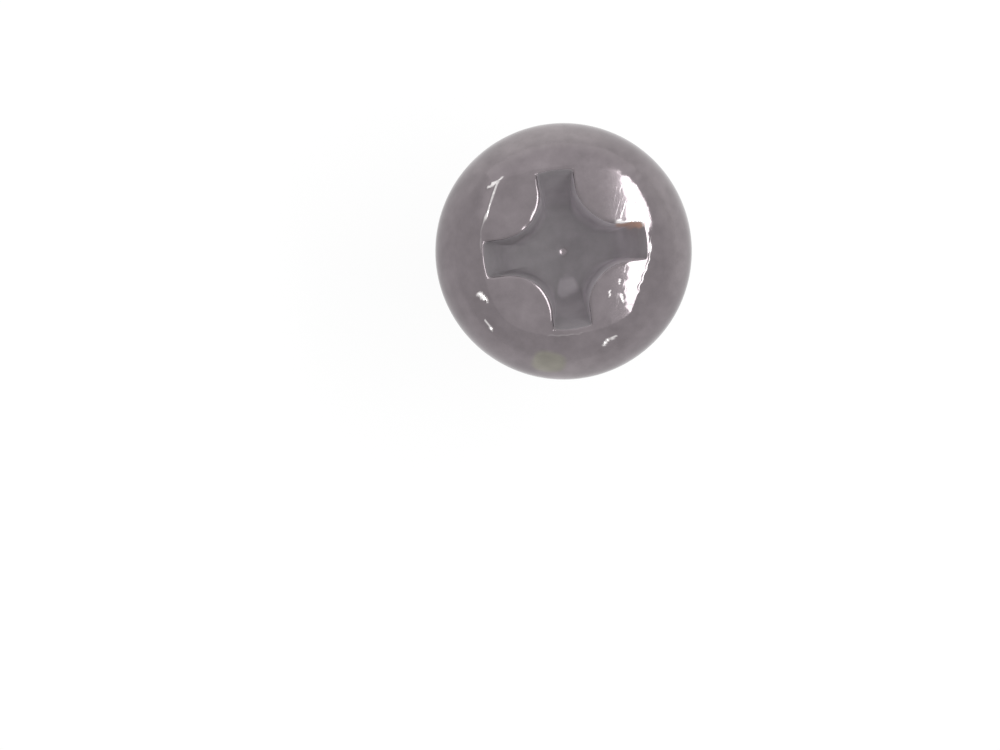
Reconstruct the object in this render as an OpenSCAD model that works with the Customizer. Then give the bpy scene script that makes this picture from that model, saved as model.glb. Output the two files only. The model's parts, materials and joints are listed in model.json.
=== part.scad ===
// Pan head machine screw with a cross recess and a right-hand metric thread.
// Millimetres. The origin is the centre of the bearing face under the head.
// +Z runs along the axis, out through the head.

/* [Head] */
// Diameter of the head
head_d = 5.5; // [5.2:0.1:6.2]
// Height of the head above its bearing face
head_h = 2; // [1.9:0.05:2.3]
// Height of the upright rim at the edge of the head
rim_h = 0.6; // [0.45:0.05:0.7]
// Radius of the rounded shoulder above the rim
shoulder_r = 1.3; // [1.2:0.05:1.4]
// Radius of the domed crown
crown_r = 8.7; // [7.5:0.1:11]
// Size of the broken edge at the foot of the rim
edge_break = 0.1; // [0.05:0.05:0.2]

/* [Cross recess] */
// Distance across two opposite wings at the mouth
recess_d = 3.48; // [3.3:0.02:3.6]
// Width of a wing at the mouth
wing_w = 0.8; // [0.7:0.02:0.86]
// Distance across two opposite lands at the mouth
land_gap = 2; // [1.9:0.02:2.1]
// Distance across the foot of two opposite wings
wing_foot_d = 2.29; // [2.15:0.01:2.4]
// Angle of the wing ends from the axis
wing_angle = 26.5; // [25:0.5:28]
// Draft of the wing walls
wall_draft = 5.75; // [4:0.25:7]
// Included angle of the point at the bottom
point_angle = 140; // [136:1:150]

/* [Shank] */
// Length below the head
shank_l = 6; // [4:0.5:8]
// Diameter of the plain neck under the head
neck_d = 3; // [2.9:0.05:3.1]
// Length of the plain neck
neck_l = 0.75; // [0.6:0.05:1]
// Radius of the fillet between neck and bearing face
fillet_r = 0.1; // [0.05:0.05:0.15]
// Diameter of the flat at the tip
tip_d = 2.3; // [2:0.05:2.4]

/* [Thread] */
// Distance from one turn to the next
pitch = 0.5; // [0.35:0.05:0.6]
// How much smaller the crests are than the neck, on the diameter
crest_allowance = 0.04; // [0.02:0.01:0.1]
// Angle between two flanks
flank_angle = 60; // [55:1:60]

/* [Hidden] */
$fn = 96;
overshoot = 0.5;

head_r = head_d / 2;
neck_r = neck_d / 2;

// Recess, measured from the mouth where the wing ends meet the crown
mouth_r = recess_d / 2;
mouth_z = head_h - crown_r + sqrt(crown_r * crown_r - mouth_r * mouth_r);
wing_foot_r = wing_foot_d / 2;
wing_foot_z = mouth_z - (mouth_r - wing_foot_r) / tan(wing_angle);
point_z = wing_foot_z - wing_foot_r / tan(point_angle / 2);
cutter_top_z = head_h + overshoot;
cutter_top_r = mouth_r + (cutter_top_z - mouth_z) * tan(wing_angle);

// Each land between two wings has a round corner that stands a trace proud of its walls
wing_half = wing_w / 2;
corner_proud = 0.01;
corner_c = (land_gap / 2 - wing_half + corner_proud) / (sqrt(2) - 1);
corner_r = corner_c - wing_half + corner_proud;

// Thread: a flat of an eighth of the pitch on the crest and a quarter at the root
crest_r = (neck_d - crest_allowance) / 2;
crest_flat = pitch / 8;
root_flat = pitch / 4;
flank_run = (pitch - crest_flat - root_flat) / 2;
thread_depth = flank_run / tan(flank_angle / 2);
thread_top_z = -neck_l;
row_offset = [0, root_flat, root_flat + flank_run, root_flat + flank_run + crest_flat];
row_depth = [1, 1, 0, 0];
rows = len(row_offset);
columns = 32;
// The rod's ends step down by one turn; with this share of a turn to spare,
// the tip is cut clear of one step and the neck covers the other
spare_turn = 0.25;
thread_start_z = -shank_l - (1 + spare_turn) * pitch;
last_row = rows * ceil((thread_top_z - thread_start_z) / pitch + spare_turn);

// Height of a thread point, by its row along the axis and its column round it
function row_z(row, column) =
    thread_start_z + pitch * (floor(row / rows) + column / columns) + row_offset[row % rows];

// The groove runs out to the crests over one pitch before the neck
function run_out(z) = min(1, max(0, (thread_top_z - z) / pitch));

function thread_point(row, column) =
    let (
        z = row_z(row, column),
        r = crest_r - thread_depth * row_depth[row % rows] * run_out(z),
        turn = 360 * column / columns
    )
    [r * cos(turn), r * sin(turn), z];

// Place of a thread point in the list; past the last column it is one turn further up
function spot(row, column) =
    column < columns ? row * columns + column : (row + rows) * columns;

module head_profile() {
    intersection() {
        union() {
            polygon([
                [0, 0],
                [head_r - edge_break, 0],
                [head_r, edge_break],
                [head_r, rim_h],
                [head_r - shoulder_r, rim_h + shoulder_r],
                [0, head_h]
            ]);
            translate([head_r - shoulder_r, rim_h]) circle(r = shoulder_r);
            square([head_r - shoulder_r, head_h]);
        }
        translate([0, head_h - crown_r]) circle(r = crown_r);
        square([head_r, head_h]);
    }
}

module neck_profile() {
    translate([0, -neck_l]) square([neck_r, neck_l]);
    difference() {
        translate([0, -fillet_r]) square([neck_r + fillet_r, fillet_r]);
        translate([neck_r + fillet_r, -fillet_r]) circle(r = fillet_r);
    }
}

module turned_blank() {
    rotate_extrude() {
        head_profile();
        neck_profile();
    }
}

// Rod longer than the shank: one sweep of the thread form round the axis
module threaded_rod() {
    side = [
        for (row = [0 : last_row - 1])
            for (column = [0 : columns - 1])
                if (column < columns - 1 || row + 1 + rows <= last_row)
                    for (half = [0, 1])
                        half == 0
                            ? [spot(row, column), spot(row + 1, column), spot(row + 1, column + 1)]
                            : [spot(row, column), spot(row + 1, column + 1), spot(row, column + 1)]
    ];
    foot = (last_row + 1) * columns;
    top = foot + 1;
    foot_rim = concat(
        [for (column = [0 : columns]) spot(0, column)],
        [for (row = [rows - 1 : -1 : 0]) spot(row, 0)]
    );
    top_rim = concat(
        [for (column = [0 : columns - 1]) spot(last_row, column)],
        [for (row = [last_row - 1 : -1 : last_row - rows]) spot(row, columns - 1)],
        [spot(last_row, 0)]
    );
    polyhedron(
        points = concat(
            [for (row = [0 : last_row]) for (column = [0 : columns - 1]) thread_point(row, column)],
            [[0, 0, thread_start_z], [0, 0, row_z(last_row, 0)]]
        ),
        faces = concat(
            side,
            [for (i = [0 : len(foot_rim) - 2]) [foot, foot_rim[i], foot_rim[i + 1]]],
            [for (i = [0 : len(top_rim) - 2]) [top, top_rim[i + 1], top_rim[i]]]
        )
    );
}

// Keeps what lies above the flat tip and inside its 45 degree chamfer
module tip_envelope() {
    outer_r = neck_r + overshoot;
    tip_r = tip_d / 2;
    rotate_extrude()
        polygon([
            [0, -shank_l],
            [tip_r, -shank_l],
            [outer_r, -shank_l + outer_r - tip_r],
            [outer_r, overshoot],
            [0, overshoot]
        ]);
}

module thread() {
    intersection() {
        threaded_rod();
        tip_envelope();
    }
}

// One land between two wings: drafted walls and a round corner, both leaning in with depth
module land_post() {
    reach = head_d;
    deep = mouth_z - point_z + overshoot;
    high = cutter_top_z - mouth_z + overshoot;
    lean = tan(wall_draft);
    intersection() {
        translate([wing_half, 0, mouth_z]) rotate([0, wall_draft, 0])
            translate([0, -reach, -reach]) cube([reach, 2 * reach, 2 * reach]);
        translate([0, wing_half, mouth_z]) rotate([-wall_draft, 0, 0])
            translate([-reach, 0, -reach]) cube([2 * reach, reach, 2 * reach]);
        union() {
            translate([corner_c, corner_c, mouth_z - deep])
                cylinder(r1 = corner_r + deep * lean, r2 = corner_r - high * lean, h = deep + high);
            translate([corner_c, 0, mouth_z - deep]) cube([reach, reach, deep + high]);
            translate([0, corner_c, mouth_z - deep]) cube([reach, reach, deep + high]);
        }
    }
}

module cross_recess() {
    difference() {
        rotate_extrude()
            polygon([
                [0, point_z],
                [wing_foot_r, wing_foot_z],
                [cutter_top_r, cutter_top_z],
                [0, cutter_top_z]
            ]);
        for (quarter = [0 : 3])
            rotate(90 * quarter) land_post();
    }
}

module screw() {
    color("#6b686a")
        difference() {
            union() {
                turned_blank();
                thread();
            }
            cross_recess();
        }
}

screw();
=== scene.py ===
"""Dark plated pan head machine screw with a worn cross recess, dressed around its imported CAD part."""

import json
import math
from collections import namedtuple

import bmesh
import bpy
import numpy as np
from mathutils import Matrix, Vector


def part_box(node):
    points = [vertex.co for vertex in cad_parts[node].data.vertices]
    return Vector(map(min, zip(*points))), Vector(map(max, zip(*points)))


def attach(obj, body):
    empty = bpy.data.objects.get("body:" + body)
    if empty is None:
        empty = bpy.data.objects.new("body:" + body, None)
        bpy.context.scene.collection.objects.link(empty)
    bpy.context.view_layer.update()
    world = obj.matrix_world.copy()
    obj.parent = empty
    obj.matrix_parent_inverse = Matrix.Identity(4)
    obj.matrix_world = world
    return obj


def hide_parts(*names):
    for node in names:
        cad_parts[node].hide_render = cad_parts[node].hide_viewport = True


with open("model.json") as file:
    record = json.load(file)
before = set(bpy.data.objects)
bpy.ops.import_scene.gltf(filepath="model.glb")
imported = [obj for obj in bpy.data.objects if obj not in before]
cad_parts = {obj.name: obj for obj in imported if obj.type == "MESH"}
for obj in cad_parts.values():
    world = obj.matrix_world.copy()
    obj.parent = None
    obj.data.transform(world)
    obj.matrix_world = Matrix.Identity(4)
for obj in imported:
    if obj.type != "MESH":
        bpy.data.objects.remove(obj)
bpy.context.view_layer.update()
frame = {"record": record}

# Sizes are in millimetres, and MM turns them into Blender's metres
MM = 0.001

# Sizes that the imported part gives
low, high = [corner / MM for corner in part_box("screw")]
mount_sizes = {mount["name"]: mount["dims"] for mount in frame["record"]["mounts"]}
HEAD_R = high.x
TIP_Z = low.z
NECK_R = mount_sizes["neck"]["r_mm"]
CREST_R = mount_sizes["thread"]["r_mm"]
THREAD_L = mount_sizes["thread"]["length_mm"]
MOUTH_R = mount_sizes["cross_recess"]["r_mm"]

# Head
CROWN_TOP = 2.0
CROWN_R = 8.7
SHOULDER_R = 1.3
RIM_Z = 0.6
EDGE_BREAK = 0.1
FILLET_R = 0.1

# Cross recess: the width of its wings, the lands between them and the slope of its walls
WING_HALF = 0.38
WING_CORNER_R = 0.06
LAND_GAP = 1.84
LAND_MIDDLE = (LAND_GAP / 2 - WING_HALF) / (math.sqrt(2) - 1)
LAND_R = LAND_MIDDLE - WING_HALF
WING_ANGLE = math.radians(26.5)
WALL_DRAFT = math.radians(5.75)
MOUTH_Z = CROWN_TOP - CROWN_R + math.sqrt(CROWN_R**2 - MOUTH_R**2)
# Its blunt point, which drivers have burnished in the middle, and how far off the axis it lies
POINT_Z = 0.214
POINT_SLOPE = math.tan(math.radians(20))
POINT_ROUND = 0.06
BURNISHED_R = 0.085
BURNISHED_SOFT = 0.4
RECESS_SHIFT = np.array([-0.005, 0.0])
# Directions along and across each wing: right, up, left, down
QUARTER_TURN = np.array([[0, 1], [-1, 0]])
QUARTERS = [np.linalg.matrix_power(QUARTER_TURN, number) for number in range(4)]
# How far each wing reaches and half its width, in that order, and how near the axis each land comes
# between them; a wing's own sizes take hold between two distances from the axis
WING_REACH = (1.787, 1.715, 1.703, 1.67)
WING_HALVES = (0.385, 0.375, 0.375, 0.4)
LAND_REACH = (0.98, 0.9, 0.9, 0.93)
WING_BLEND = (1.0, 1.6)
# Bulges of the mouth on a side of the upper and of the right-hand wing
Bulge = namedtuple("Bulge", "place push reach")
BULGES = (
    Bulge((-0.42, 1.17), (0.03, 0.0), 0.22),
    Bulge((1.45, 0.38), (0.0, 0.035), 0.32),
)
# Share of a wing's corner over which its side begins, and steps that find where walls meet corners,
# lands and the floor
SIDE_FROM_CORNER = (0.5, 1)
CORNER_STEPS = 4
LAND_STEPS = 6
FLOOR_STEPS = 40
# Painted light and shade of the recess, which even out its shading: lighter where shade falls deepest,
# on the walls and their feet, and darker on the floor and wing ends, which take more light; its floor,
# then its wing ends, wing sides and land corners at the mouth and at the foot; the right of the view is
# painted lighter by a share that levels off with distance from the axis, and what lies higher up the
# view by a share for each millimetre
FLOOR_PAINTED_LIGHT = 0.1
WING_PAINTED_LIGHT = (0.08, 0.32)
SIDE_PAINTED_LIGHT = (0.34, 0.58)
LAND_PAINTED_LIGHT = (0.33, 0.37)
PAINTED_LIGHTER_RIGHT = 0.55
PAINTED_LIGHTER_REACH = 0.5
PAINTED_LIGHTER_UP = 0.12

# Columns of the mesh in half a quarter of the recess: how many follow a wing's end, its corner and
# its side, and the angle that they span on the crease
END_COLUMNS = 12
CORNER_COLUMNS = 8
SIDE_COLUMNS = 41
END_SPAN = math.radians(12)
CORNER_SPAN = math.radians(3)
SIDE_SPAN = math.radians(30)
# Rings of the mesh: on the floor by their share of its radius, then how many on a softened edge, the
# walls, the lands, the shoulder, the rim and the broken edge
FLOOR_SHARES = (0.04, 0.08, 0.12, 0.17, 0.23, 0.3, 0.38, 0.47, 0.57, 0.68, 0.79, 0.9)
SOFT_RINGS = 8
WALL_RINGS = 14
LAND_RINGS = 30
SHOULDER_RINGS = 40
RIM_RINGS = 5
BREAK_RINGS = 4
# Shares of the floor's radius between which its columns stop being even, and how the shoulder's
# rings crowd towards the crease
FLOOR_EVEN = (0.2, 1)
SHOULDER_CROWDING = 1.1

# Crease where the lands break into the shoulder: right, up, left and down beside the wings,
# then in the middle of the lands between them
CREASE_AT_WINGS = (1.97, 1.80, 1.76, 1.80)
CREASE_AT_LANDS = (2.11, 2.05, 1.93, 1.94)
# Straight stretches of the crease as seen in the view: direction and distance from the axis
CREASE_FLATS = ((161, 1.816), (181, 1.775), (-6, 1.84), (-20, 1.787))
CREASE_FLAT_SPAN = math.radians(60)
CREASE_BLEND = 0.012
LAND_LIFT = 0.02
SHOULDER_BREAK = math.radians(26)

# Softened edges: the mouth down its wall and out over the land, the foot of the walls, and the
# crease, which is softer at the top of the view
MOUTH_SOFT = 0.05
MOUTH_ROLL = 0.035
FLOOR_SOFT = 0.22
CREASE_SOFT = 0.05
CREASE_SOFT_TOP = 0.12
CREASE_TOP_SPREAD = math.radians(35)
# Rings of the mouth over which it turns from matt to smooth, and of the foot over which its painted
# lightness rises
MOUTH_TURNS = (1.5, 5.5)
FOOT_TURNS = (1, 7)
# Facet that drivers have burnished along the mouth, which keeps only a share of its width at the
# ends of the wings
FACET_WIDTH = 0.045
FACET_AT_END = 0.1
FACET_RAGGED = 0.35
FACET_SLOPE = math.tan(math.radians(15))
# Burrs leave the mouth sharper by a share past two distances to the right of the view; where a land
# is narrow, its edges take no more than a share of it
MOUTH_SHARP = 0.75
MOUTH_SHARP_RIGHT = (1.1, 1.4)
NARROW_SHARE = 0.25

# Height on the head above which it is worn
WORN_Z = (1.3, 1.5)

# Lip pushed up along the crease by a slipping driver, as seen in the view: where each stretch
# starts and ends, over how many degrees its two ends fade, and how strong it is
Lip = namedtuple("Lip", "start end fade_in fade_out strength")
LIPS = (
    Lip(131, 164, 4, 8, 0.9),
    Lip(158, 190, 6, 14, 0.3),
    Lip(-33, 8, 6, 4, 0.4),
    Lip(-106, -72, 8, 8, 0.3),
)
LIP_WIDTH = 0.045
LIP_FALL = 0.03
LIP_SLOPE = 0.4
LIP_RAGGED = 0.012
LIP_BARE = (0.1, 0.7)
LIP_PATCHY = 0.25

# Outer part of the right-hand lands, rubbed down a little more steeply: how far right its inner
# edge lies at several distances up the view
RUBBED_UP = (-1.4, -1.25, -1.07, -0.78, -0.49, -0.25, 0.6, 1.02, 1.31, 1.62)
RUBBED_RIGHT = (1.58, 1.35, 1.31, 1.295, 1.36, 1.39, 1.33, 1.344, 1.28, 1.19)
RUBBED_SLOPE = math.tan(math.radians(4))
RUBBED_RAGGED = 0.035
# Narrow strip past the end of the right-hand wing, hit down by the driver
HIT_RIGHT = 1.815
HIT_UP = 0.29
HIT_REACH = 0.18
HIT_SLOPE = math.tan(math.radians(14))
HIT_RAGGED = 0.015

# Nicks, each a small facet turned towards the side lamp, as seen in the view: distance from
# the axis, direction, heading, half its length, half its width, how deep it sits, its tilt
Nick = namedtuple("Nick", "reach turn heading length width sink tilt")
NICKS = (
    Nick(1.99, 210, -41, 0.18, 0.06, 0.02, 13),
    Nick(2.273, 227.1, -55, 0.065, 0.035, 0.01, 13),
    Nick(2.242, 223.3, -50, 0.1, 0.015, 0.004, 9),
    Nick(2.14, -65, 42, 0.12, 0.032, 0.01, 13),
    Nick(2.13, -60, 35, 0.11, 0.025, 0.01, 13),
    Nick(1.33, -43, 84, 0.09, 0.016, 0.004, 8),
    Nick(1.36, -29, 80, 0.08, 0.014, 0.004, 8),
    Nick(1.609, -39.1, 97, 0.12, 0.022, 0.004, 10),
    Nick(2.077, 137.3, 34, 0.17, 0.04, 0.0, 4),
    Nick(2.043, 131.3, 38, 0.09, 0.016, 0.0, 4),
)
NICK_RAGGED = 0.3
NICK_RAGGED_FROM = -1
NICK_SOFT = 0.4
NICK_BARE = 0.3

# Chipped upper edge of the right-hand wing: where it fades in and out along the wing and across it,
# and how far the chips reach over the edge and onto the land
CHIPPED_FROM = (1.12, 1.22)
CHIPPED_TO = (1.74, 1.79)
CHIPPED_ABOVE = (0.28, 0.34)
CHIPPED_BELOW = (0.6, 0.7)
CHIPPED_RAGGED = 0.02
CHIP_OVER_EDGE = 0.05
CHIP_WIDTH = 0.07
CHIP_RAGGED = 0.6
CHIP_FADE = 0.03
# Rust on the wall below the chips and in spots among them: how deep below the crown it ends, how it
# fades there, how strong it is and how uneven
RUST_DEPTH = 0.75
RUST_FADE = (-0.25, 0.2)
RUST_STRENGTH = 0.9
RUST_RAGGED = 0.15
RUST_SLANT = 0.3
RUST_SPOT = 0.08
RUST_SPOT_FADE = 0.6

# Scratched part of the lands: past the mouth, short of the crease and to the right of the view
SCRATCHED_PAST_MOUTH = (0.02, 0.1)
SCRATCHED_TO_CREASE = (-0.05, 0)
SCRATCHED_RIGHT = (1.0, 1.3)

# An oil stain, and a painted reflection spot in the recess, as seen in the view: distance from the axis,
# direction, half its length, half its width, and how ragged its edge is
StainOrPaintedSpot = namedtuple("StainOrPaintedSpot", "reach turn length width ragged")
OIL_STAIN = StainOrPaintedSpot(2.39, -97.3, 0.42, 0.26, 0.12)
# Painted reflection: a lighter spot in the lower wing of the recess, and the share by which it lightens
# it
PAINTED_REFLECTION_SPOT = StainOrPaintedSpot(0.74, -84.2, 0.25, 0.225, 0.1)
PAINTED_REFLECTION_SHARE = 0.24
STAIN_OR_SPOT_FULLNESS = 3
STAIN_OR_SPOT_FADE = 0.35
OIL_ABOVE_RIM = 0.3

# Painted sheen: lighter plating painted towards the rim where the lights reflect in it, as seen in the
# view: direction, spread, strength and how far from the axis it starts; then the distance over which it
# takes hold
SheenPatch = namedtuple("SheenPatch", "turn spread strength start")
PAINTED_SHEEN_PATCHES = (
    SheenPatch(97, 38, 1.0, 2.1),
    SheenPatch(27, 20, 0.5, 1.95),
    SheenPatch(-5, 16, 0.35, 2.1),
    SheenPatch(-88, 18, 0.4, 2.1),
)
SHEEN_REACH = 0.4

# Slants at which patches and the facet's unevenness run, so that they don't follow the wings
PATCH_SLANT = 0.4
FACET_SLANT = 0.6

# Thread, with its root and crest as shares of the pitch, and how bare its crests are
PITCH = 0.5
ROOT_SHARE = 1 / 4
CREST_SHARE = 1 / 8
FLANK_ANGLE = math.radians(60)
THREAD_DEPTH = (1 - ROOT_SHARE - CREST_SHARE) / 2 * PITCH / math.tan(FLANK_ANGLE / 2)
CREST_BARE = 0.4
CREST_BARE_POWER = 3
TURNS = 12
ROWS_PER_TURN = 16
SHANK_COLUMNS = 120
COLUMNS_PER_SHANK_COLUMN = 4

# Tip, with its rings by their share of its radius and the shares between which it is dished
TIP_R = 1.15
TIP_DISH = 0.05
TIP_SHARES = (1, 0.93, 0.86, 0.7, 0.5, 0.3, 0.15)
TIP_DISHED = (0.95, 0.4)

# Rings on the fillet under the head and on the neck, and the angle past which an edge stays sharp
FILLET_RINGS = 6
NECK_RINGS = 4
SHARP_ANGLE = math.radians(35)

# How the photograph frames the head, in pixels
PHOTO_W = 1000
PHOTO_H = 750
HEAD_CENTRE_PX = (563.6, 251.3)
HEAD_R_PX = 128.3
CAMERA_DISTANCE = 200.0
SENSOR_W = 36.0
VIEW_TURN = math.radians(6.9)

view_right = Vector((math.cos(VIEW_TURN), -math.sin(VIEW_TURN), 0))
view_up = Vector((math.sin(VIEW_TURN), math.cos(VIEW_TURN), 0))
view_plan = np.array([view_right.xy, view_up.xy]).T


# Small helpers for points

def polar(turn, radius=1.0):
    """Points at these angles on a circle about the axis."""
    return np.asarray(radius)[..., None] * np.stack([np.cos(turn), np.sin(turn)], axis=-1)


def steps(start, end, count):
    """Even steps from start up to, but not including, end."""
    return np.linspace(start, end, count, endpoint=False)


def smooth(value, start, end):
    """Rises from 0 at start to 1 at end with soft ends."""
    share = np.clip((value - start) / (end - start), 0, 1)
    return share * share * (3 - 2 * share)


def bump(value, middle, spread):
    """Bell of height 1 round a middle value."""
    return np.exp(-((value - middle) / spread) ** 2)


def turn_between(turn, other):
    """Signed angle from one direction to another, the short way round."""
    return (turn - other + math.pi) % (2 * math.pi) - math.pi


def ragged(along, seed, finest=6.0, waves=9):
    """Uneven wave of about -1 to 1, for broken edges; along is in millimetres."""
    chance = np.random.default_rng(seed)
    rate = chance.uniform(0.5, finest, waves) * 2 * math.pi
    start = chance.uniform(0, 2 * math.pi, waves)
    return np.sin(np.multiply.outer(along, rate) + start).sum(axis=-1) / math.sqrt(waves)


def patches(right, up, seeds, finest):
    """Uneven patches of about -1 to 1 over the view."""
    first, second = seeds
    along = ragged(right + PATCH_SLANT * up, first, finest)
    return along * ragged(up - PATCH_SLANT * right, second, finest)


def lift_to(points, height):
    """Plan points with a height added."""
    return np.concatenate([points, np.broadcast_to(height, len(points))[:, None]], axis=1)


def soften(start, corner, end):
    """Rings that round a corner between two points of every column."""
    for share in np.linspace(0, 1, SOFT_RINGS):
        yield (1 - share) ** 2 * start + 2 * share * (1 - share) * corner + share**2 * end


def turned_rings(profile, columns):
    """Rings of a turned surface, from its radius and height at each ring."""
    turn = steps(0, 2 * math.pi, columns)
    return [lift_to(polar(turn, np.full(columns, radius)), height) for radius, height in profile]


# Surfaces of the head

def crown(radius):
    """Height of the domed crown."""
    return CROWN_TOP - CROWN_R + np.sqrt(CROWN_R**2 - radius**2)


def shoulder(start, radius, share):
    """Points of the rounded shoulder in its own plane, from a start on the crease to the rim.

    Radius is the distance of the start from the axis, and share the way gone.
    """
    tilt = np.arcsin(np.clip((radius - HEAD_R + SHOULDER_R) / SHOULDER_R, 0, 1))
    tilt = np.maximum(tilt, SHOULDER_BREAK)
    handle = 4 / 3 * np.tan((math.pi / 2 - tilt) / 4) * SHOULDER_R
    left = 1 - share
    weight = (left**3, 3 * left**2 * share, 3 * left * share**2, share**3)
    out = (radius, radius + handle * np.cos(tilt), HEAD_R, HEAD_R)
    height = (start, start - handle * np.sin(tilt), RIM_Z + handle, RIM_Z)
    return (
        sum(part * size for part, size in zip(weight, out)),
        sum(part * size for part, size in zip(weight, height)),
    )


def recess_floor(radius):
    """Height of the blunt point at the bottom of the recess."""
    return POINT_Z + POINT_SLOPE * (np.sqrt(radius**2 + POINT_ROUND**2) - POINT_ROUND)


def floor(plan):
    """Points on the floor of the recess, given from its own middle."""
    return lift_to(plan + RECESS_SHIFT, recess_floor(np.hypot(*plan.T)))


def crease_radius(turn):
    """Distance of the crease from the axis, rounded between the wings and the lands."""
    reach = [size for pair in zip(CREASE_AT_WINGS, CREASE_AT_LANDS) for size in pair]
    place = turn / (math.pi / 4)
    before = np.floor(place).astype(int)
    share = (1 - np.cos(math.pi * (place - before))) / 2
    start = np.take(reach, before, mode="wrap")
    end = np.take(reach, before + 1, mode="wrap")
    radius = start + (end - start) * share
    for facing, distance in CREASE_FLATS:
        off = turn_between(turn + VIEW_TURN, math.radians(facing))
        straight = distance / np.cos(np.clip(off, -CREASE_FLAT_SPAN, CREASE_FLAT_SPAN))
        radius = -CREASE_BLEND * np.logaddexp(-radius / CREASE_BLEND, -straight / CREASE_BLEND)
    return radius


def rubbed_drop(plan):
    """How far the rubbed part of the lands lies below the crown."""
    right, up = (plan @ view_plan).T
    start = np.interp(up, RUBBED_UP, RUBBED_RIGHT) + RUBBED_RAGGED * ragged(up, seed=3, finest=9.0)
    rubbed_or_sheened = RUBBED_SLOPE * np.maximum(right - start, 0)
    hit_start = HIT_RIGHT + HIT_RAGGED * ragged(up, seed=4, finest=9.0)
    hit = HIT_SLOPE * np.maximum(right - hit_start, 0) * bump(up, HIT_UP, HIT_REACH)
    return rubbed_or_sheened + hit


def land(plan):
    """Points on the lands."""
    return lift_to(plan, crown(np.hypot(*plan.T)) + LAND_LIFT - rubbed_drop(plan))


# Wear on the head, and painted light and shade

def lip_strength(view_turn):
    """How strongly each direction of the view carries a lip along the crease."""
    strength = np.zeros_like(view_turn)
    for lip in LIPS:
        half = math.radians(lip.end - lip.start) / 2
        off = turn_between(view_turn, math.radians(lip.start) + half)
        fade_in = smooth(off, -half, -half + math.radians(lip.fade_in))
        fade_out = 1 - smooth(off, half - math.radians(lip.fade_out), half)
        strength += lip.strength * fade_in * fade_out
    return strength


Places = namedtuple("Places", "x y z right up radius turn past_mouth past_crease patchy")


def places_on_head(points, past_mouth):
    """Where the points of the head lie: on the screw, in the view, and past the mouth and the crease."""
    x, y, z = np.moveaxis(points, -1, 0)
    right, up = np.moveaxis(points[..., :2] @ view_plan, -1, 0)
    radius = np.hypot(right, up)
    turn = np.arctan2(up, right)
    past_crease = radius - crease_radius(turn - VIEW_TURN)
    patchy = patches(right, up, seeds=(11, 12), finest=9.0)
    return Places(x, y, z, right, up, radius, turn, past_mouth, past_crease, patchy)


def inside_spot(at, spot, heading, fullness=2):
    """Runs from 1 in the middle of a nick, a stain or a painted reflection spot to 0 at its edge and
    below 0 outside.

    Fullness 2 makes an oval; more makes it squarer.
    """
    turn = math.radians(spot.turn)
    heading = math.radians(heading)
    aside = at.right - spot.reach * math.cos(turn)
    above = at.up - spot.reach * math.sin(turn)
    along = aside * math.cos(heading) + above * math.sin(heading)
    across = above * math.cos(heading) - aside * math.sin(heading)
    far = np.abs(along / spot.length) ** fullness + np.abs(across / spot.width) ** fullness
    return 1 - far ** (1 / fullness)


def lips(at):
    """How high the lips along the crease rise and how bare they are."""
    beyond = at.past_crease + LIP_RAGGED * ragged(at.radius * at.turn, seed=14, finest=5.0)
    ridge = np.minimum(1 + beyond / LIP_WIDTH, 1 - beyond / LIP_FALL)
    ridge = np.clip(ridge, 0, 1) * lip_strength(at.turn)
    bare = smooth(ridge, *LIP_BARE) * (1 - LIP_PATCHY + LIP_PATCHY * at.patchy)
    return LIP_SLOPE * LIP_WIDTH * ridge, bare


def nicks(at):
    """How much the nicks raise each point and how bare they are."""
    rise = np.zeros_like(at.z)
    bare = np.zeros_like(at.z)
    for nick in NICKS:
        inside = inside_spot(at, nick, nick.heading)
        middle = np.unravel_index(np.argmax(inside), inside.shape)
        slope = math.tan(math.radians(nick.tilt))
        facet = at.z[middle] - nick.sink - slope * (at.right - at.right[middle])
        broken = inside + NICK_RAGGED * at.patchy * (inside > NICK_RAGGED_FROM)
        rise += smooth(broken, 0, NICK_SOFT) * (facet - at.z)
        bare += smooth(broken, 0, NICK_BARE)
    return rise, bare


def chips_and_rust(at, recess):
    """How bare and how rusty one edge of the right-hand wing is; recess is 1 inside the recess."""
    along_wing = smooth(at.x, *CHIPPED_FROM) * (1 - smooth(at.x, *CHIPPED_TO))
    lower = at.y + CHIPPED_RAGGED * ragged(at.x, seed=27)
    beside_wing = along_wing * smooth(lower, *CHIPPED_ABOVE) * (1 - smooth(at.y, *CHIPPED_BELOW))
    reach = CHIP_WIDTH * (1 + CHIP_RAGGED * ragged(at.x, seed=21, finest=5.0))
    on_land = 1 - smooth(at.past_mouth, reach, reach + CHIP_FADE)
    chipped = smooth(at.past_mouth, -CHIP_OVER_EDGE, 0) * on_land
    spotted = smooth(ragged(at.x, seed=24, finest=8.0) - at.past_mouth / RUST_SPOT, 0, RUST_SPOT_FADE)
    foot = CROWN_TOP - RUST_DEPTH * (1 + RUST_RAGGED * ragged(at.x, seed=22, finest=5.0))
    strength = RUST_STRENGTH + RUST_RAGGED * ragged(at.x - RUST_SLANT * at.z, seed=23)
    rusty = np.clip(smooth(at.z - foot, *RUST_FADE) * strength, 0, 1)
    bare = beside_wing * chipped * (1 - spotted)
    return bare, beside_wing * rusty * np.maximum(recess, spotted * chipped)


def stain_or_painted_spot(at, stain_or_spot):
    """Runs from 0 outside a stain or a painted reflection spot to 1 inside it, across a smeared edge."""
    smeared = patches(at.right, at.up, seeds=(25, 26), finest=2.0)
    inside = inside_spot(at, stain_or_spot, stain_or_spot.turn + 90, STAIN_OR_SPOT_FULLNESS)
    return smooth(inside + stain_or_spot.ragged * smeared, 0, STAIN_OR_SPOT_FADE)


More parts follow.
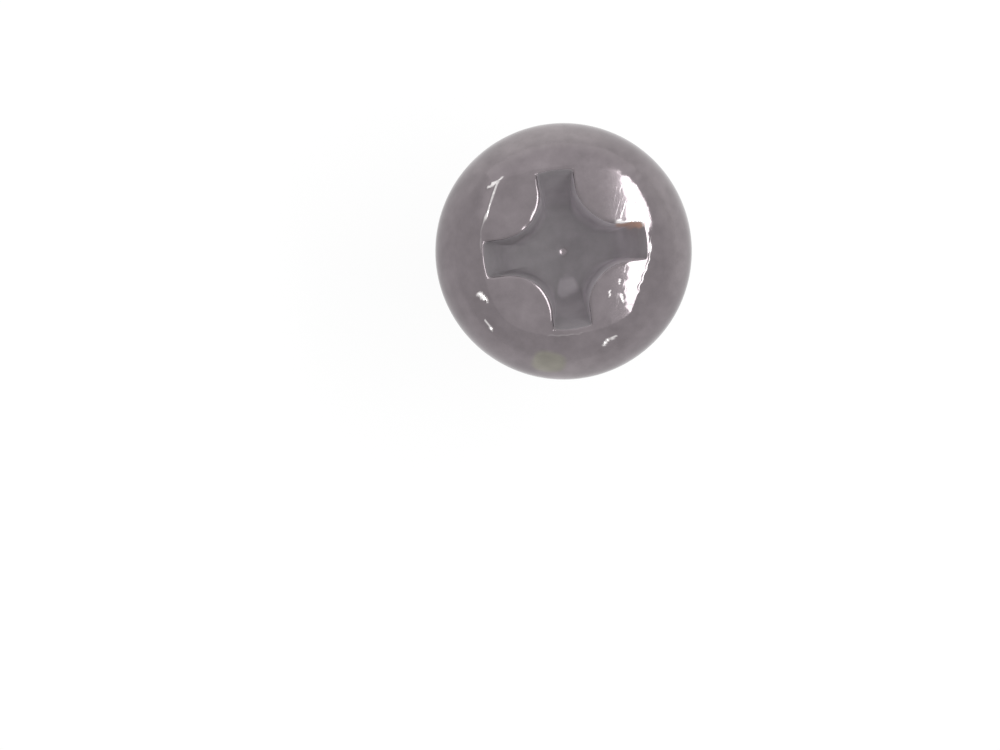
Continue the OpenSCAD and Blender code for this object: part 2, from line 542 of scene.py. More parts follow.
def painted_rim_sheen(at):
    """How strongly a painted sheen lightens the plating towards the rim."""
    sheen = np.zeros_like(at.z)
    for part in PAINTED_SHEEN_PATCHES:
        off = turn_between(at.turn, math.radians(part.turn))
        towards_rim = smooth(at.radius, part.start, part.start + SHEEN_REACH)
        sheen += part.strength * bump(off, 0, math.radians(part.spread)) * towards_rim
    return sheen


def wear_and_painted_light(points, past_mouth, fields):
    """Adds lips, nicks, chips and stains to the points of the head and to their fields, and a painted
    sheen towards the rim and painted light and shade in the recess.

    Past_mouth tells how far each point lies outside the edge of the recess.
    """
    at = places_on_head(points, past_mouth)
    on_top = smooth(at.z, *WORN_Z)
    lip_rise, lip_bare = lips(at)
    nick_rise, nick_bare = nicks(at)
    chip_bare, fields["rust"] = chips_and_rust(at, fields["recess"])
    fields["edge_wear"] = np.clip(lip_bare + nick_bare + chip_bare, 0, 1) * on_top

    on_land = smooth(past_mouth, *SCRATCHED_PAST_MOUTH)
    on_land = on_land * (1 - smooth(at.past_crease, *SCRATCHED_TO_CREASE))
    fields["scratched"] = on_land * smooth(at.right, *SCRATCHED_RIGHT)

    fields["oil_film"] = stain_or_painted_spot(at, OIL_STAIN) * smooth(at.z, RIM_Z, RIM_Z + OIL_ABOVE_RIM)
    # Painted sheen towards the rim
    fields["painted_rim_sheen"] = painted_rim_sheen(at)
    # Painted light: the recess is painted lighter to the right and up the view, against its shading
    fields["clean"] *= 1 + PAINTED_LIGHTER_RIGHT * np.tanh(at.right / PAINTED_LIGHTER_REACH) + PAINTED_LIGHTER_UP * at.up
    # Painted reflection: a lighter spot on the lower wing of the recess
    fields["clean"] += PAINTED_REFLECTION_SHARE * stain_or_painted_spot(at, PAINTED_REFLECTION_SPOT)

    points[..., 2] += (lip_rise + nick_rise) * on_top


# Shape of the head

Columns = namedtuple("Columns", "end corner side ahead beside crossing")


def recess_columns():
    """Columns round the recess: what share of a wing's end, corner and side each has passed, the
    directions along and across its wing, and the angle at which it crosses the crease.
    """
    passed_end = steps(0, 1, END_COLUMNS)
    passed_corner = steps(0, 1, CORNER_COLUMNS)
    passed_side = np.linspace(0, 1, SIDE_COLUMNS)
    end = np.concatenate([passed_end, np.ones(CORNER_COLUMNS + SIDE_COLUMNS)])
    corner = np.concatenate([np.zeros(END_COLUMNS), passed_corner, np.ones(SIDE_COLUMNS)])
    side = np.concatenate([np.zeros(END_COLUMNS + CORNER_COLUMNS), passed_side])
    ahead = np.tile([1.0, 0.0], (len(end), 1))
    beside = np.tile([0.0, 1.0], (len(end), 1))
    crossing = end * END_SPAN + corner * CORNER_SPAN + side * SIDE_SPAN

    # The other half of a quarter is its mirror image across the diagonal
    def all_shares(half):
        return np.tile(np.concatenate([half, half[-2:0:-1]]), 4)

    def all_directions(half):
        quarter = np.concatenate([half, half[-2:0:-1, ::-1]])
        return np.concatenate([quarter @ turned for turned in QUARTERS])

    quarter_crossing = np.concatenate([crossing, math.pi / 2 - crossing[-2:0:-1]])
    return Columns(
        *(all_shares(share) for share in (end, corner, side)),
        *(all_directions(direction) for direction in (ahead, beside)),
        np.concatenate([quarter_crossing + number * math.pi / 2 for number in range(4)]),
    )


def recess_plan(columns, depth):
    """Where each column of the drafted recess wall stands at its depth below the mouth."""
    draft = math.tan(WALL_DRAFT)
    reach = MOUTH_R - math.tan(WING_ANGLE) * depth
    land_r = LAND_R + draft * depth

    # A wing's side is straight at first and then follows the round corner of the land
    def side_y(x):
        past_straight = np.maximum(LAND_MIDDLE - x, 0)
        return WING_HALF - draft * depth + land_r - np.sqrt(land_r**2 - past_straight**2)

    middle_x = reach
    for _ in range(CORNER_STEPS):
        middle_y = side_y(middle_x) - WING_CORNER_R
        middle_x = np.sqrt((reach - WING_CORNER_R) ** 2 - middle_y**2)
    corner_turn = np.arctan2(middle_y, middle_x)
    round_turn = corner_turn + (math.pi / 2 - corner_turn) * columns.corner
    nose = LAND_MIDDLE - land_r / math.sqrt(2)
    side_x = middle_x + (nose - middle_x) * columns.side

    at_end = polar(columns.end * corner_turn, reach)
    at_corner = np.stack([middle_x, middle_y], axis=-1) + polar(round_turn, WING_CORNER_R)
    at_side = np.stack([side_x, side_y(side_x)], axis=-1)
    along, across = np.where(
        columns.end[:, None] < 1, at_end, np.where(columns.corner[:, None] < 1, at_corner, at_side)
    ).T
    return along[:, None] * columns.ahead + across[:, None] * columns.beside


def uneven_punch(plan):
    """How far the real, slightly uneven punch moves each point of the mouth."""
    points = plan
    sizes = zip(WING_REACH, WING_HALVES, LAND_REACH, QUARTERS)
    for wing_reach, wing_half, land_reach, (along, across) in sizes:
        out = smooth(points @ along, *WING_BLEND)
        wider = (wing_half / WING_HALF - 1) * out * (points @ across)
        points = points + np.outer((wing_reach - MOUTH_R) * out, along) + np.outer(wider, across)
        diagonal = (along + across) / math.sqrt(2)
        off = np.arccos(points @ diagonal / np.hypot(*points.T))
        near = np.cos(2 * np.minimum(off, math.pi / 4)) ** 2
        points = points + np.outer((land_reach - LAND_GAP / 2) * near, diagonal)
    for bulge in BULGES:
        distance = np.hypot(*(plan - bulge.place).T)
        points = points + np.outer(bump(distance, 0, bulge.reach), bulge.push)
    return points - plan


def depth_at_land(wall, columns):
    """Depth below the mouth at which the wall of each column meets the land."""
    depth = np.zeros(columns)
    for _ in range(LAND_STEPS):
        depth = MOUTH_Z - land(wall(depth)[:, :2])[:, 2]
    return depth


def depth_at_floor(wall, columns):
    """Depth below the mouth at which the wall of each column meets the floor, found by halving."""
    above = np.zeros(columns)
    below = np.full(columns, MOUTH_Z)
    for _ in range(FLOOR_STEPS):
        middle = (above + below) / 2
        point = wall(middle)
        clear = point[:, 2] > recess_floor(np.hypot(*(point[:, :2] - RECESS_SHIFT).T))
        above = np.where(clear, middle, above)
        below = np.where(clear, below, middle)
    return above


Mouth = namedtuple("Mouth", "edge outward land_width soft depth facet_foot land_start")


def burnished_mouth(wall, crease, on_side):
    """Edge of the recess in each column, with its roll and the facet between the roll and the land."""
    edge = wall(depth_at_land(wall, len(crease)))[:, :2]
    to_crease = crease - edge
    land_width = np.hypot(*to_crease.T)
    outward = to_crease / land_width[:, None]
    widest = NARROW_SHARE * land_width
    blunt = 1 - MOUTH_SHARP * smooth(edge @ view_right.xy, *MOUTH_SHARP_RIGHT)
    soft = np.minimum(MOUTH_SOFT * blunt, widest)
    roll = np.minimum(MOUTH_ROLL * blunt, widest)
    along_edge = edge[:, 0] + FACET_SLANT * edge[:, 1]
    uneven = 1 + FACET_RAGGED * ragged(along_edge, seed=31, finest=3.0)
    share = FACET_AT_END + (1 - FACET_AT_END) * on_side
    facet = np.minimum(FACET_WIDTH * blunt * uneven * share, widest)
    facet_foot = edge + outward * roll[:, None]
    land_start = facet_foot + outward * facet[:, None]
    facet_foot = lift_to(facet_foot, land(land_start)[:, 2] - FACET_SLOPE * facet)
    depth = MOUTH_Z - facet_foot[:, 2] + FACET_SLOPE * roll
    return Mouth(edge, outward, land_width, soft, depth, facet_foot, land_start)


class HeadRings:
    """Rings of points, from the point of the recess outwards, with how matt they are and how light they
    are painted against shade.
    """

    def __init__(self, columns):
        self.columns = columns
        self.even_turn = steps(0, 2 * math.pi, columns)
        self.points = []
        self.matt = []
        self.clean = []

    def add(self, ring, matt=0.0, clean=0.0):
        self.points.append(ring)
        self.matt.append(np.broadcast_to(matt, self.columns))
        self.clean.append(np.broadcast_to(clean, self.columns))


def add_floor(rings, wall, bottom, foot_painted_light):
    """Floor of the recess, where the columns even out towards the point, and the foot of its walls."""
    foot = wall(bottom)[:, :2] - RECESS_SHIFT
    foot_turn = np.arctan2(foot[:, 1], foot[:, 0])
    edge_r = np.hypot(*foot.T) - FLOOR_SOFT
    burnished = (BURNISHED_R * (1 - BURNISHED_SOFT), BURNISHED_R * (1 + BURNISHED_SOFT))
    for share in FLOOR_SHARES:
        even = 1 - smooth(share, *FLOOR_EVEN)
        turn = foot_turn + even * turn_between(rings.even_turn, foot_turn)
        radius = share * (edge_r + even * (edge_r.mean() - edge_r))
        rings.add(floor(polar(turn, radius)), smooth(radius, *burnished), FLOOR_PAINTED_LIGHT)
    floor_edge = floor(polar(foot_turn, edge_r))
    foot_rings = soften(floor_edge, wall(bottom), wall(bottom - FLOOR_SOFT))
    # The foot of the walls turns from the floor's darker painted tone to the lighter painted tone of the
    # shaded walls
    for number, ring in enumerate(foot_rings):
        painted_lighter = smooth(number, *FOOT_TURNS)
        rings.add(ring, 1, FLOOR_PAINTED_LIGHT + (foot_painted_light - FLOOR_PAINTED_LIGHT) * painted_lighter)


def add_walls(rings, wall, bottom, mouth, foot_painted_light, mouth_painted_light):
    """Walls of the recess and the roll at their mouth."""
    start = bottom - FLOOR_SOFT
    end = mouth.depth + mouth.soft
    # Walls are painted lighter at their shaded foot than at their mouth
    for share in np.linspace(0, 1, WALL_RINGS)[1:-1]:
        rings.add(wall(start + (end - start) * share), 1, foot_painted_light + (mouth_painted_light - foot_painted_light) * share)
    for number, ring in enumerate(soften(wall(end), wall(mouth.depth), mouth.facet_foot)):
        rings.add(ring, 1 - smooth(number, *MOUTH_TURNS), mouth_painted_light)


def add_lands(rings, mouth, crossing, crease_r):
    """Lands, the crease and the shoulder, where the columns even out round the axis."""
    crease = polar(crossing, crease_r)
    off_top = turn_between(crossing + VIEW_TURN, math.pi / 2)
    soft = CREASE_SOFT + CREASE_SOFT_TOP * bump(off_top, 0, CREASE_TOP_SPREAD)
    soft = np.minimum(soft, NARROW_SHARE * mouth.land_width)
    land_end = crease - mouth.outward * soft[:, None]
    for share in np.linspace(0, 1, LAND_RINGS)[:-1]:
        rings.add(land(mouth.land_start + (land_end - mouth.land_start) * share))

    corner = land(crease)
    passed = soft / SHOULDER_R / 2
    radius, height = shoulder(corner[:, 2], crease_r, passed)
    for ring in soften(land(land_end), corner, lift_to(polar(crossing, radius), height)):
        rings.add(ring)
    for share in np.linspace(0, 1, SHOULDER_RINGS)[1:]:
        way = passed + (1 - passed) * share**SHOULDER_CROWDING
        radius, height = shoulder(corner[:, 2], crease_r, way)
        turn = crossing + turn_between(rings.even_turn, crossing) * smooth(share, 0, 1)
        rings.add(lift_to(polar(turn, radius), height))


def add_rim(rings):
    """Rim and the broken edge at its foot."""
    profile = [(HEAD_R, height) for height in np.linspace(RIM_Z, EDGE_BREAK, RIM_RINGS)[1:]]
    for tilt in np.linspace(0, math.pi / 2, BREAK_RINGS)[1:]:
        radius = HEAD_R - EDGE_BREAK * (1 - math.cos(tilt))
        profile.append((radius, EDGE_BREAK * (1 - math.sin(tilt))))
    for ring in turned_rings(profile, rings.columns):
        rings.add(ring)


def head_surface():
    """Rings of the head from the point of the recess out to the edge of the bearing face.

    Gives their points and, by name, the fields that the finish reads.
    """
    recess = recess_columns()
    columns = len(recess.crossing)
    moved = uneven_punch(recess_plan(recess, np.zeros(columns))) + RECESS_SHIFT

    def wall(depth):
        return lift_to(recess_plan(recess, depth) + moved, MOUTH_Z - depth)

    # The sides of the wings, which lie in more shade, are painted lighter than their ends
    on_side = smooth(recess.corner, *SIDE_FROM_CORNER)
    on_land = smooth(recess.side, 0, 1)
    mouth_painted_light, foot_painted_light = [
        end_part + (side_part - end_part) * on_side + (land_part - side_part) * on_land
        for end_part, side_part, land_part in zip(WING_PAINTED_LIGHT, SIDE_PAINTED_LIGHT, LAND_PAINTED_LIGHT)
    ]

    crease_r = crease_radius(recess.crossing)
    bottom = depth_at_floor(wall, columns)
    mouth = burnished_mouth(wall, polar(recess.crossing, crease_r), on_side)
    rings = HeadRings(columns)
    add_floor(rings, wall, bottom, foot_painted_light)
    add_walls(rings, wall, bottom, mouth, foot_painted_light, mouth_painted_light)
    add_lands(rings, mouth, recess.crossing, crease_r)
    add_rim(rings)

    points = np.array(rings.points)
    fields = {"recess": np.array(rings.matt), "clean": np.array(rings.clean)}
    past_mouth = ((points[..., :2] - mouth.edge) * mouth.outward).sum(axis=-1)
    wear_and_painted_light(points, past_mouth, fields)
    return points, fields


# Shank and the whole screw

def neck_rings():
    """Rings from the bearing face down the neck to the start of the thread."""
    neck_z = TIP_Z + THREAD_L
    fillet = [
        (NECK_R + FILLET_R * (1 - math.sin(tilt)), -FILLET_R * (1 - math.cos(tilt)))
        for tilt in np.linspace(0, math.pi / 2, FILLET_RINGS)
    ]
    plain = [(NECK_R, height) for height in np.linspace(-FILLET_R, neck_z, NECK_RINGS)[1:]]
    return turned_rings(fillet + plain + [(CREST_R, neck_z)], SHANK_COLUMNS)


def tip_rings():
    """Rings from the rim of the tip to its middle, which is dished a little."""
    profile = [
        (TIP_R * share, TIP_Z + TIP_DISH * smooth(share, *TIP_DISHED))
        for share in TIP_SHARES
    ]
    return turned_rings(profile, SHANK_COLUMNS)


def band_faces(start, rings, columns):
    """Four-sided faces between neighbouring rings, the first of which starts at a vertex number."""
    faces = []
    for ring in range(rings - 1):
        inner = start + ring * columns
        outer = inner + columns
        for column in range(columns):
            following = (column + 1) % columns
            faces.append((inner + column, outer + column, outer + following, inner + following))
    return faces


def fan_faces(start, columns, middle):
    """Three-sided faces from a ring to its middle point."""
    return [(middle, start + column, start + (column + 1) % columns) for column in range(columns)]


def screw_blank():
    """Mesh of the head, the neck and the tip, with an open gap where the thread goes."""
    head, fields = head_surface()
    neck = neck_rings()
    tip = tip_rings()
    head_columns = len(head[0])
    neck_start = len(head) * head_columns
    tip_start = neck_start + len(neck) * SHANK_COLUMNS
    point = tip_start + len(tip) * SHANK_COLUMNS
    tip_middle = point + 1

    point_place = (*RECESS_SHIFT, POINT_Z)
    vertices = np.concatenate([*head, *neck, *tip, [point_place], [(0, 0, TIP_Z + TIP_DISH)]])
    faces = band_faces(0, len(head), head_columns)
    faces += band_faces(neck_start, len(neck), SHANK_COLUMNS)
    faces += band_faces(tip_start, len(tip), SHANK_COLUMNS)
    faces += fan_faces(0, head_columns, point)
    faces += fan_faces(tip_start + (len(tip) - 1) * SHANK_COLUMNS, SHANK_COLUMNS, tip_middle)

    # Each face of the flat bearing ring takes several columns of the head and one of the neck
    edge_start = neck_start - head_columns
    for column in range(SHANK_COLUMNS):
        first = column * COLUMNS_PER_SHANK_COLUMN
        outer = [
            edge_start + (first + number) % head_columns
            for number in range(COLUMNS_PER_SHANK_COLUMN + 1)
        ]
        faces.append((neck_start + (column + 1) % SHANK_COLUMNS, neck_start + column, *outer))

    mesh = bpy.data.meshes.new("screw_blank")
    mesh.from_pydata((vertices * MM).tolist(), [], faces)

    for name, field in fields.items():
        values = np.zeros(len(vertices))
        values[:neck_start] = field.ravel()
        mesh.attributes.new(name, "FLOAT", "POINT").data.foreach_set("value", values)
    return mesh


# Node helpers

def add_node(tree, kind, inputs=None, **settings):
    """Adds a node, sets its properties, and sets or links its inputs by name or number."""
    made = tree.nodes.new(kind)
    for key, value in settings.items():
        setattr(made, key, value)
    for key, value in (inputs or {}).items():
        if isinstance(value, bpy.types.NodeSocket):
            tree.links.new(value, made.inputs[key])
        else:
            made.inputs[key].default_value = value
    return made


def calc(tree, operation, *values, clamp=False):
    """Result of one Math node."""
    inputs = dict(enumerate(values))
    return add_node(tree, "ShaderNodeMath", inputs, operation=operation, use_clamp=clamp).outputs[0]


# Thread

THREAD_SIZES = {
    "Crest Radius": CREST_R * MM,
    "Depth": THREAD_DEPTH * MM,
    "Pitch": PITCH * MM,
    "Neck Height": (TIP_Z + THREAD_L) * MM,
    "Tip Height": TIP_Z * MM,
    "Tip Radius": TIP_R * MM,
}
THREAD_COUNTS = {"Turns": TURNS, "Rows per Turn": ROWS_PER_TURN, "Columns": SHANK_COLUMNS}
WELD = 2e-7


def thread_tree():
    """Geometry nodes that add a rolled thread between the neck and the tip of the blank."""
    tree = bpy.data.node_groups.new("rolled_thread", "GeometryNodeTree")
    tree.interface.new_socket("Geometry", in_out="INPUT", socket_type="NodeSocketGeometry")
    for name in THREAD_SIZES:
        tree.interface.new_socket(name, in_out="INPUT", socket_type="NodeSocketFloat")
    for name in THREAD_COUNTS:
        tree.interface.new_socket(name, in_out="INPUT", socket_type="NodeSocketInt")
    tree.interface.new_socket("Material", in_out="INPUT", socket_type="NodeSocketMaterial")
    tree.interface.new_socket("Geometry", in_out="OUTPUT", socket_type="NodeSocketGeometry")
    given = add_node(tree, "NodeGroupInput").outputs

    # A flat grid: its width goes once round the axis and its height up all the turns
    rows = calc(tree, "MULTIPLY", given["Turns"], given["Rows per Turn"])
    grid = add_node(tree, "GeometryNodeMeshGrid", {
        "Size X": 1.0,
        "Size Y": 1.0,
        "Vertices X": calc(tree, "ADD", given["Columns"], 1),
        "Vertices Y": calc(tree, "ADD", rows, 1),
    }).outputs["Mesh"]
    place = add_node(tree, "ShaderNodeSeparateXYZ", {
        0: add_node(tree, "GeometryNodeInputPosition").outputs[0],
    }).outputs
    round_axis = calc(tree, "ADD", place["X"], 0.5)
    up_turns = calc(tree, "MULTIPLY", calc(tree, "ADD", place["Y"], 0.5), given["Turns"])

    # Every row climbs one pitch per turn and stops at the tip and at the neck
    climb = calc(tree, "SUBTRACT", calc(tree, "ADD", up_turns, round_axis), 1)
    free_height = calc(tree, "MULTIPLY_ADD", climb, given["Pitch"], given["Tip Height"])
    height = calc(tree, "MINIMUM", given["Neck Height"],
                  calc(tree, "MAXIMUM", free_height, given["Tip Height"]))

    # Thread form: flat at the root and at the crest, with straight flanks
    over_tip = calc(tree, "SUBTRACT", height, given["Tip Height"])
    phase = calc(tree, "SUBTRACT", calc(tree, "DIVIDE", over_tip, given["Pitch"]), round_axis)
    wave = calc(tree, "PINGPONG", calc(tree, "MULTIPLY", phase, 2), 1)
    hollow = add_node(tree, "ShaderNodeMapRange", {
        "Value": wave,
        "From Min": ROOT_SHARE,
        "From Max": 1 - CREST_SHARE,
        "To Min": 1.0,
        "To Max": 0.0,
    }).outputs["Result"]

    # The groove runs out under the neck, and the tip is chamfered
    below_neck = calc(tree, "SUBTRACT", given["Neck Height"], height)
    run_out = calc(tree, "DIVIDE", below_neck, given["Pitch"], clamp=True)
    groove = calc(tree, "MULTIPLY", calc(tree, "MULTIPLY", hollow, run_out), given["Depth"])
    chamfer = calc(tree, "ADD", over_tip, given["Tip Radius"])
    radius = calc(tree, "MINIMUM", chamfer, calc(tree, "SUBTRACT", given["Crest Radius"], groove))

    turn = calc(tree, "MULTIPLY", round_axis, 2 * math.pi)
    wound = add_node(tree, "ShaderNodeCombineXYZ", {
        "X": calc(tree, "MULTIPLY", radius, calc(tree, "COSINE", turn)),
        "Y": calc(tree, "MULTIPLY", radius, calc(tree, "SINE", turn)),
        "Z": height,
    }).outputs[0]
    crest = calc(tree, "SUBTRACT", 1, hollow)
    worn = add_node(tree, "GeometryNodeStoreNamedAttribute", {
        "Geometry": grid,
        "Name": "edge_wear",
        "Value": calc(tree, "MULTIPLY", calc(tree, "POWER", crest, CREST_BARE_POWER), CREST_BARE),
    }, data_type="FLOAT", domain="POINT").outputs["Geometry"]
    thread = add_node(tree, "GeometryNodeSetPosition", {
        "Geometry": worn,
        "Position": wound,
    }).outputs["Geometry"]

    joined = add_node(tree, "GeometryNodeJoinGeometry")
    tree.links.new(thread, joined.inputs[0])
    tree.links.new(given["Geometry"], joined.inputs[0])
    welded = add_node(tree, "GeometryNodeMergeByDistance", {
        "Geometry": joined.outputs[0],
        "Distance": WELD,
    }).outputs["Geometry"]
    realized = add_node(tree, "GeometryNodeRealizeInstances", {0: welded}).outputs[0]
    painted = add_node(tree, "GeometryNodeSetMaterial", {
        "Geometry": realized,
        "Material": given["Material"],
    }).outputs["Geometry"]
    add_node(tree, "NodeGroupOutput", {"Geometry": painted})
    return tree


def make_screw(material):
    """The whole screw as one closed mesh."""
    piece = bpy.data.objects.new("screw_body", screw_blank())
    bpy.context.scene.collection.objects.link(piece)
    modifier = piece.modifiers.new("rolled_thread", "NODES")
    modifier.node_group = thread_tree()
    values = {**THREAD_SIZES, **THREAD_COUNTS, "Material": material}
    for socket in modifier.node_group.interface.items_tree:
        if socket.in_out == "INPUT" and socket.name in values:
            modifier[socket.identifier] = values[socket.name]
    evaluated = piece.evaluated_get(bpy.context.evaluated_depsgraph_get())
    mesh = bpy.data.meshes.new_from_object(evaluated)
    piece.modifiers.remove(modifier)
    piece.data = mesh
    mesh.name = "screw_body"

    shell = bmesh.new()
    shell.from_mesh(mesh)
    bmesh.ops.recalc_face_normals(shell, faces=shell.faces)
    shell.to_mesh(mesh)
    shell.free()
    mesh.shade_smooth()
    mesh.set_sharp_from_angle(angle=SHARP_ANGLE)
    return piece


# Finish

PLATING = (0.221, 0.195, 0.207, 1)
# Lighter plating painted as a sheen towards the rim
PLATING_PAINTED_SHEEN = (0.32, 0.288, 0.297, 1)
# Dark and light tones of the matt recess, between which it is painted to even out its shading
RECESS_PAINTED_LIGHT = (0.62, 0.565, 0.612, 1)
RECESS_PAINTED_SHADE = (0.17, 0.1585, 0.1657, 1)
OIL_TINT = (0.266, 0.252, 0.222, 1)
RUST = (0.5, 0.325, 0.26, 1)
BARE_STEEL = (0.78, 0.75, 0.75, 1)
# Clouds that vary the plating: how many there are to a millimetre and how they change its shade
CLOUD_DETAIL = 3.0
STAINS_PER_MM = 1.6
STAIN_SHADE = (0.8, 1.2)
BLOTCHES_PER_MM = 4.0
BLOTCH_SHADE = (-0.15, 0.15)
GRAINS_PER_MM = 28.0
GRAIN_SHADE = (-0.05, 0.05)
# Roughness of the smooth plating by its grain, what wear adds to it, and that of the matt recess
SMOOTH_ROUGHNESS = (0.12, 0.22)
WORN_ROUGHNESS = 0.1
MATT_ROUGHNESS = 0.7
# Scratches are clouds drawn out along their heading and cut off at a level
SCRATCH_HEADING = math.radians(76) - VIEW_TURN
SCRATCH_SIZE = (0.4, 0.05, 0.4)
SCRATCH_LEVEL = (0.58, 0.7)
SCRATCH_BARE = 0.5
SCRATCH_DEPTH = 2.0
# Relief of the grain and the scratches
RELIEF_STRENGTH = 0.35
RELIEF_HEIGHT = 0.002

# Numbers of a Mix node's two colour inputs and of its colour output
MIX_COLOURS = (6, 7)
MIX_RESULT = 2


def mixed_colour(tree, share, first, second):
    """Colour that goes from the first to the second as share goes from 0 to 1."""
    mix = add_node(tree, "ShaderNodeMix", {0: share}, data_type="RGBA")
    for number, colour in zip(MIX_COLOURS, (first, second)):
        if isinstance(colour, bpy.types.NodeSocket):
            tree.links.new(colour, mix.inputs[number])
        else:
            mix.inputs[number].default_value = colour
    return mix.outputs[MIX_RESULT]


def between(tree, share, start, end):
    """Value that goes from start to end as share goes from 0 to 1."""
    return add_node(tree, "ShaderNodeMapRange", {
        "Value": share, "To Min": start, "To Max": end,
    }).outputs["Result"]


def dark_plated_steel():
    """Dark warm grey plating, smooth outside, matt in the recess with painted light and shade, bare where
    it is nicked, with a painted sheen towards the rim.
    """
    material = bpy.data.materials.new("dark_plated_steel")
    material.use_nodes = True
    tree = material.node_tree
    shader = tree.nodes["Principled BSDF"]
    place = add_node(tree, "ShaderNodeMapping", {
        "Vector": add_node(tree, "ShaderNodeTexCoord").outputs["Object"],
        "Scale": (1 / MM, 1 / MM, 1 / MM),
    }).outputs["Vector"]

    def field(name):
        return add_node(tree, "ShaderNodeAttribute", attribute_name=name).outputs["Fac"]

    def cloud(scale, vector=place):
        return add_node(tree, "ShaderNodeTexNoise", {
            "Vector": vector, "Scale": scale, "Detail": CLOUD_DETAIL,
        }).outputs["Fac"]

    # Wear
    drawn_out = add_node(tree, "ShaderNodeMapping", {
        "Vector": place, "Rotation": (0, 0, SCRATCH_HEADING), "Scale": SCRATCH_SIZE,
    }, vector_type="TEXTURE").outputs["Vector"]
    scratch = add_node(tree, "ShaderNodeMapRange", {
        "Value": cloud(1.0, drawn_out), "From Min": SCRATCH_LEVEL[0], "From Max": SCRATCH_LEVEL[1],
    }).outputs["Result"]
    scratched = calc(tree, "MULTIPLY", scratch, field("scratched"))
    worn = calc(tree, "MAXIMUM", field("edge_wear"), calc(tree, "MULTIPLY", scratched, SCRATCH_BARE))

    # Colour
    recess = field("recess")
    rust = field("rust")
    stain_or_spot = between(tree, cloud(STAINS_PER_MM), *STAIN_SHADE)
    blotch = between(tree, cloud(BLOTCHES_PER_MM), *BLOTCH_SHADE)
    grain = cloud(GRAINS_PER_MM)
    shade = calc(tree, "ADD", calc(tree, "ADD", stain_or_spot, blotch), between(tree, grain, *GRAIN_SHADE))
    # Painted sheen towards the rim, where the lights reflect
    rubbed_or_sheened = mixed_colour(tree, field("painted_rim_sheen"), PLATING, PLATING_PAINTED_SHEEN)
    oiled = mixed_colour(tree, field("oil_film"), rubbed_or_sheened, OIL_TINT)
    # Painted light and shade in the recess: lighter where shade falls, darker where light reaches
    recess_painted_tone = mixed_colour(tree, field("clean"), RECESS_PAINTED_SHADE, RECESS_PAINTED_LIGHT)
    plating = mixed_colour(tree, rust, mixed_colour(tree, recess, oiled, recess_painted_tone), RUST)
    shaded = add_node(tree, "ShaderNodeVectorMath", {0: plating, "Scale": shade}, operation="SCALE")
    colour = mixed_colour(tree, worn, shaded.outputs["Vector"], BARE_STEEL)
    tree.links.new(colour, shader.inputs["Base Color"])

    # Gloss
    worn_part = calc(tree, "MULTIPLY", worn, WORN_ROUGHNESS)
    smooth_part = calc(tree, "ADD", between(tree, grain, *SMOOTH_ROUGHNESS), worn_part)
    matt_part = calc(tree, "MAXIMUM", recess, rust)
    roughness = add_node(tree, "ShaderNodeMix", {0: matt_part, 2: smooth_part, 3: MATT_ROUGHNESS})
    tree.links.new(roughness.outputs[0], shader.inputs["Roughness"])
    tree.links.new(calc(tree, "SUBTRACT", 1, matt_part), shader.inputs["Metallic"])

    # Relief
    relief = add_node(tree, "ShaderNodeBump", {
        "Height": calc(tree, "SUBTRACT", grain, calc(tree, "MULTIPLY", scratched, SCRATCH_DEPTH)),
        "Strength": RELIEF_STRENGTH,
        "Distance": RELIEF_HEIGHT * MM,
    })
    tree.links.new(relief.outputs["Normal"], shader.inputs["Normal"])
    return material


steel = dark_plated_steel()
screw = make_screw(steel)
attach(screw, "root")
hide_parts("screw")


# Studio

WHITE = (1, 1, 1, 1)
WORLD_STRENGTH = 0.92
FLOOR_HALF = 250.0
FLOOR_COLOUR = (0.9, 0.9, 0.9, 1)
FLOOR_GLOW = 1.0
FLOOR_GLOW_SHARE = 0.88
# Lamps aimed at the head: tilt from straight above, turn from the view's right, distance, size, radiance
Lamp = namedtuple("Lamp", "name tilt turn distance width height radiance")
LAMPS = (
    Lamp("side_lamp", 30, 7, 100, 88, 28, 6.0),
    Lamp("top_lamp", 60, 95, 150, 400, 173, 0.27),
    Lamp("overhead_lamp", 0, 0, 250, 290, 290, 0.13),
)


def background_rays(tree):
    """1 for the rays that see the set itself: from the camera and from metal or glass."""
    path = add_node(tree, "ShaderNodeLightPath").outputs
    seen = calc(tree, "MAXIMUM", path["Is Camera Ray"], path["Is Glossy Ray"])
    return calc(tree, "MAXIMUM", seen, path["Is Transmission Ray"])


def white_world():
    """White surroundings."""
    world = bpy.data.worlds.new("white_surroundings")
    bpy.context.scene.world = world
    world.use_nodes = True
    background = world.node_tree.nodes["Background"]
    background.inputs["Color"].default_value = WHITE
    background.inputs["Strength"].default_value = WORLD_STRENGTH


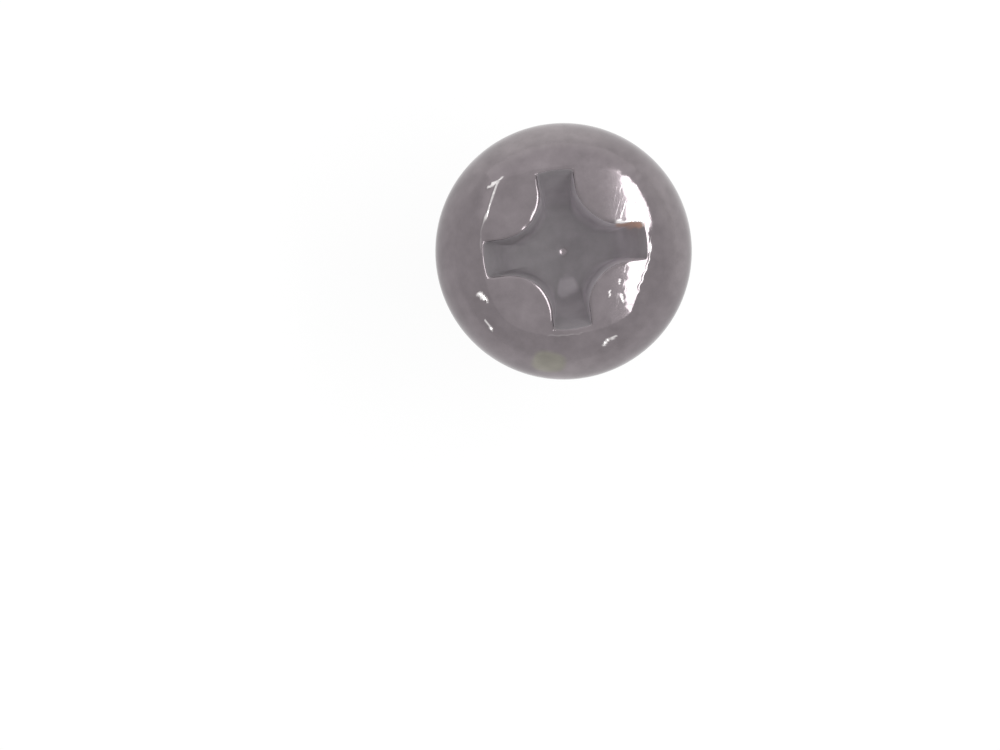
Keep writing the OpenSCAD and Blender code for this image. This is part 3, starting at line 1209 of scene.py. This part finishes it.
def pale_floor():
    """White table under the tip that still takes the screw's shadow."""
    half = FLOOR_HALF * MM
    mesh = bpy.data.meshes.new("floor")
    corners = [(-half, -half), (half, -half), (half, half), (-half, half)]
    mesh.from_pydata([(x, y, TIP_Z * MM) for x, y in corners], [], [(0, 1, 2, 3)])
    table = bpy.data.objects.new("floor", mesh)
    bpy.context.scene.collection.objects.link(table)
    material = bpy.data.materials.new("white_table")
    material.use_nodes = True
    tree = material.node_tree
    tree.nodes.remove(tree.nodes["Principled BSDF"])
    matt = add_node(tree, "ShaderNodeBsdfDiffuse", {"Color": FLOOR_COLOUR}).outputs[0]
    glow = add_node(tree, "ShaderNodeEmission", {"Color": WHITE, "Strength": FLOOR_GLOW}).outputs[0]
    share = calc(tree, "MULTIPLY", background_rays(tree), FLOOR_GLOW_SHARE)
    mixed = add_node(tree, "ShaderNodeMixShader", {0: share, 1: matt, 2: glow}).outputs[0]
    tree.links.new(mixed, tree.nodes["Material Output"].inputs["Surface"])
    mesh.materials.append(material)


def soft_lamp(lamp):
    """Rectangular lamp that the camera doesn't see."""
    light = bpy.data.lights.new(lamp.name, "AREA")
    light.shape = "RECTANGLE"
    light.size = lamp.width * MM
    light.size_y = lamp.height * MM
    light.energy = lamp.radiance * math.pi * light.size * light.size_y
    holder = bpy.data.objects.new(lamp.name, light)
    tilt = math.radians(lamp.tilt)
    turn = math.radians(lamp.turn)
    sideways = view_right * math.cos(turn) + view_up * math.sin(turn)
    back = sideways * math.sin(tilt) + Vector((0, 0, math.cos(tilt)))
    holder.location = (Vector((0, 0, CROWN_TOP)) + back * lamp.distance) * MM
    holder.rotation_euler = back.to_track_quat("Z", "Y").to_euler()
    holder.visible_camera = False
    bpy.context.scene.collection.objects.link(holder)


def overhead_camera():
    """Camera straight above, with the head where the photograph has it."""
    pixel = HEAD_R / HEAD_R_PX
    camera = bpy.data.cameras.new("overhead_camera")
    camera.sensor_width = SENSOR_W
    camera.lens = SENSOR_W * CAMERA_DISTANCE / (PHOTO_W * pixel)
    camera.clip_start = MM
    holder = bpy.data.objects.new("overhead_camera", camera)
    aside = (HEAD_CENTRE_PX[0] - PHOTO_W / 2) * pixel
    above = (PHOTO_H / 2 - HEAD_CENTRE_PX[1]) * pixel
    place = Vector((0, 0, RIM_Z + CAMERA_DISTANCE)) - view_right * aside - view_up * above
    holder.location = place * MM
    holder.rotation_euler = (0, 0, -VIEW_TURN)
    bpy.context.scene.collection.objects.link(holder)
    bpy.context.scene.camera = holder


white_world()
pale_floor()
for lamp in LAMPS:
    soft_lamp(lamp)
overhead_camera()
bpy.context.scene.view_settings.view_transform = "Standard"
